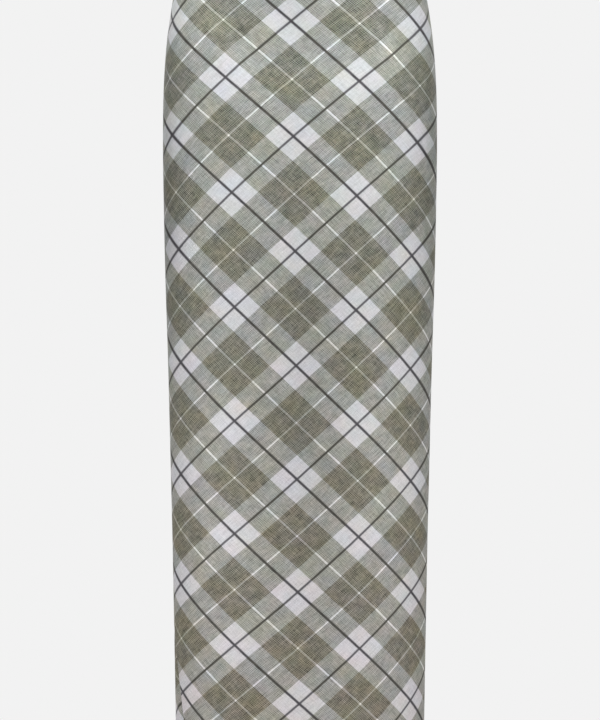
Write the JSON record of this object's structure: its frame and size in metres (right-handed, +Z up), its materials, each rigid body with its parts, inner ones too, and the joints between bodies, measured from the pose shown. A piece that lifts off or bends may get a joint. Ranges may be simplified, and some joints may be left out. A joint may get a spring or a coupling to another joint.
{
  "type": "skirt",
  "caption": "Long narrow skirt of bias-cut checked cloth, hollow as worn, with a waistband, a concealed side zip and a slit at one side of the hem.",
  "frame": {"origin": "middle of the waist opening, level with the waistband's top edge, where the wearer's waist holds the skirt", "axes": "+Z up along the skirt, -Y out of the front panel, +X towards the wearer's left, where the zip is"},
  "size_m": [0.339, 0.2242, 1.014],
  "materials": {
    "check_cloth": "soft woven cloth with a large grey and olive check on the bias, with a low sheen",
    "zip_tape": "fine woven olive grey tape",
    "zip_coil": "olive grey nylon",
    "zip_metal": "dull nickel"
  },
  "bodies": {
    "skirt": {"front_panel": "check_cloth", "back_panel": "check_cloth", "waistband": "check_cloth", "zip_tape_front": "zip_tape", "zip_tape_back": "zip_tape", "zip_coil": "zip_coil", "zip_slider": "zip_metal"},
    "pull": {"zip_pull": "zip_metal"}
  },
  "joints": [
    {"name": "pull_tab_swing", "type": "hinge", "parent": "skirt", "child": "pull", "pos_m": [0.13908, 0, -0.00771], "axis": [0, -1, 0], "range_deg": [0, 160]}
  ]
}
